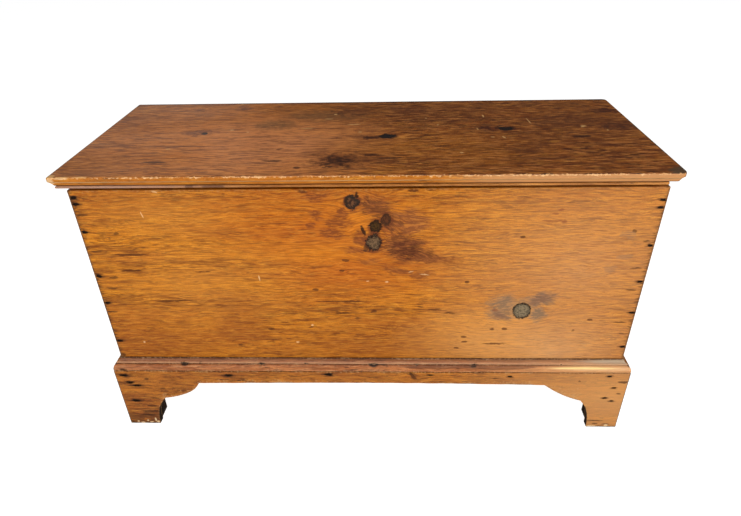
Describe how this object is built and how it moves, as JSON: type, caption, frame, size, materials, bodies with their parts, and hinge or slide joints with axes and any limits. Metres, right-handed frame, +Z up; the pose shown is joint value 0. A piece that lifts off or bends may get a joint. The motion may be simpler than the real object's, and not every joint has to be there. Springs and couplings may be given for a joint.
{
  "type": "blanket chest",
  "caption": "Nailed pine blanket chest with a hinged, moulded-edge lid and a scrolled bracket plinth with a base moulding.",
  "frame": {"origin": "bottom centre of the overall box, on the floor under the chest", "axes": "+Z up, +X to the right seen from the front, and the front faces -Y"},
  "size_m": [1.2202, 0.48, 0.676],
  "materials": {
    "front_pine": "honey-orange shellac over old pine, glossy",
    "case_pine": "aged shellac over pine, satin",
    "lid_pine": "dark red-brown shellac over pine, glossy, with a worn pale edge",
    "plinth_pine": "honey-brown shellac over pine, glossy",
    "bare_pine": "bare aged pine",
    "iron": "dark rusted iron"
  },
  "bodies": {
    "case": {"front_board": "front_pine", "back_board": "case_pine", "left_end_board": "case_pine", "right_end_board": "case_pine", "bottom_board_front": "bare_pine", "bottom_board_back": "bare_pine", "front_ledger": "bare_pine", "back_ledger": "bare_pine", "left_ledger": "bare_pine", "right_ledger": "bare_pine", "front_plinth": "plinth_pine", "left_plinth": "plinth_pine", "right_plinth": "plinth_pine", "rear_left_foot": "bare_pine", "rear_right_foot": "bare_pine", "front_left_block": "bare_pine", "front_right_block": "bare_pine", "rear_left_block": "bare_pine", "rear_right_block": "bare_pine", "front_base_moulding": "plinth_pine", "left_base_moulding": "plinth_pine", "right_base_moulding": "plinth_pine", "left_hinge_lower_leaf": "iron", "left_hinge_pin": "iron", "left_hinge_lower_screw_1": "iron", "left_hinge_lower_screw_2": "iron", "left_hinge_lower_screw_3": "iron", "right_hinge_lower_leaf": "iron", "right_hinge_pin": "iron", "right_hinge_lower_screw_1": "iron", "right_hinge_lower_screw_2": "iron", "right_hinge_lower_screw_3": "iron", "front_left_nail_1": "iron", "front_left_nail_2": "iron", "front_left_nail_3": "iron", "front_left_nail_4": "iron", "front_left_nail_5": "iron", "front_left_nail_6": "iron", "front_right_nail_1": "iron", "front_right_nail_2": "iron", "front_right_nail_3": "iron", "front_right_nail_4": "iron", "front_right_nail_5": "iron", "front_right_nail_6": "iron", "apron_nail_1": "iron", "apron_nail_2": "iron", "apron_nail_3": "iron", "apron_nail_4": "iron", "apron_nail_5": "iron"},
    "lid": {"lid_board": "lid_pine", "lid_front_bead": "lid_pine", "lid_left_bead": "lid_pine", "left_hinge_upper_leaf": "iron", "left_hinge_upper_screw_1": "iron", "left_hinge_upper_screw_2": "iron", "left_hinge_upper_screw_3": "iron", "right_hinge_upper_leaf": "iron", "right_hinge_upper_screw_1": "iron", "right_hinge_upper_screw_2": "iron", "right_hinge_upper_screw_3": "iron"}
  },
  "joints": [
    {"name": "lid_hinge", "type": "hinge", "parent": "case", "child": "lid", "pos_m": [0.00185, 0.224, 0.65585], "axis": [-1, 0, 0], "range_deg": [0, 103]}
  ]
}
